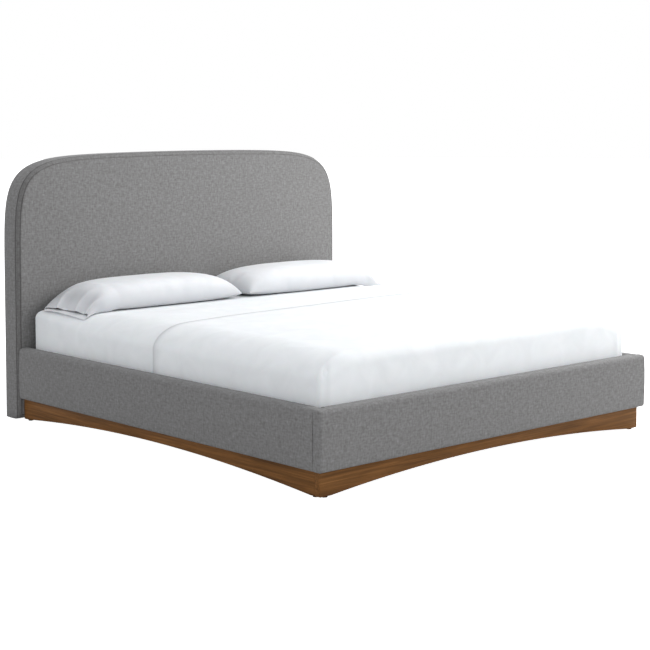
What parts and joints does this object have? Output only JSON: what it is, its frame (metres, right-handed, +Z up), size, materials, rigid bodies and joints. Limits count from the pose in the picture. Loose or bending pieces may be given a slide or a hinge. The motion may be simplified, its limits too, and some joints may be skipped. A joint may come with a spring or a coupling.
{
  "type": "upholstered platform bed",
  "caption": "Upholstered platform bed with a tall round-shouldered headboard, low padded rails and an arched wood plinth, made up with mattress, sheets and pillows.",
  "frame": {"origin": "on the floor under the middle of the whole bed", "axes": "+X to the right seen from the foot, +Y from the foot to the headboard, +Z up"},
  "size_m": [2.076, 2.266, 1.28],
  "materials": {
    "upholstery": "heathered grey woven upholstery fabric",
    "dust_cloth": "plain dark grey lining cloth",
    "foam": "polyurethane foam",
    "walnut": "satin lacquered walnut, grain along each board",
    "pine": "planed pine",
    "plywood": "birch plywood",
    "poplar": "laminated poplar slats",
    "zinc_steel": "zinc plated",
    "black_steel": "black powder coat",
    "black_nylon": "moulded",
    "webbing": "woven tape",
    "ticking": "quilted cotton ticking",
    "white_cotton": "white cotton percale"
  },
  "bodies": {
    "frame": {"headboard_front_cover": "upholstery", "headboard_border_cover": "upholstery", "side_rail_cover_left": "upholstery", "side_rail_cover_right": "upholstery", "foot_rail_cover": "upholstery", "headboard_back_cover": "dust_cloth", "headboard_foam": "foam", "side_rail_foam_left": "foam", "side_rail_foam_right": "foam", "foot_rail_foam": "foam", "side_plinth_left": "walnut", "side_plinth_right": "walnut", "foot_plinth": "walnut", "headboard_post_left": "pine", "headboard_post_right": "pine", "headboard_arch_rib": "pine", "headboard_mid_rail": "pine", "headboard_bottom_rail": "pine", "headboard_center_stile": "pine", "side_rail_core_left": "pine", "side_rail_core_right": "pine", "foot_rail_core": "pine", "plinth_block_left": "pine", "plinth_block_right": "pine", "slat_cleat_left": "pine", "slat_cleat_right": "pine", "center_beam": "pine", "headboard_front_panel": "plywood", "headboard_back_panel": "plywood", "slats_left": "poplar", "slats_right": "poplar", "plinth_screws": "zinc_steel", "deck_screws": "zinc_steel", "head_bolts": "zinc_steel", "tee_nuts": "zinc_steel", "bracket_screws": "zinc_steel", "saddle_screws": "zinc_steel", "head_bracket_left": "black_steel", "head_bracket_right": "black_steel", "foot_bracket_left": "black_steel", "foot_bracket_right": "black_steel", "beam_saddle_head": "black_steel", "beam_saddle_foot": "black_steel", "center_leg_1": "black_steel", "center_leg_2": "black_steel", "center_leg_3": "black_steel", "headboard_glides": "black_nylon", "plinth_glides": "black_nylon", "slat_tapes_left": "webbing", "slat_tapes_right": "webbing"},
    "mattress": {"mattress": "ticking", "fitted_sheet": "white_cotton", "flat_sheet": "white_cotton"},
    "left_pillow": {"pillow_left": "ticking", "pillowcase_left": "white_cotton"},
    "right_pillow": {"pillow_right": "ticking", "pillowcase_right": "white_cotton"},
    "levelling_foot_1": {"leveller_1": "black_steel"},
    "levelling_foot_2": {"leveller_2": "black_steel"},
    "levelling_foot_3": {"leveller_3": "black_steel"}
  },
  "joints": [
    {"name": "mattress_lift", "type": "slide", "parent": "frame", "child": "mattress", "axis": [0, 0, 1], "range_m": [0, 0.45]},
    {"name": "left_pillow_lift", "type": "slide", "parent": "mattress", "child": "left_pillow", "axis": [0, 0, 1], "range_m": [0, 0.3]},
    {"name": "right_pillow_lift", "type": "slide", "parent": "mattress", "child": "right_pillow", "axis": [0, 0, 1], "range_m": [0, 0.3]},
    {"name": "levelling_foot_1_screw", "type": "slide", "parent": "frame", "child": "levelling_foot_1", "axis": [0, 0, -1], "range_m": [0, 0.01]},
    {"name": "levelling_foot_2_screw", "type": "slide", "parent": "frame", "child": "levelling_foot_2", "axis": [0, 0, -1], "range_m": [0, 0.01]},
    {"name": "levelling_foot_3_screw", "type": "slide", "parent": "frame", "child": "levelling_foot_3", "axis": [0, 0, -1], "range_m": [0, 0.01]}
  ]
}
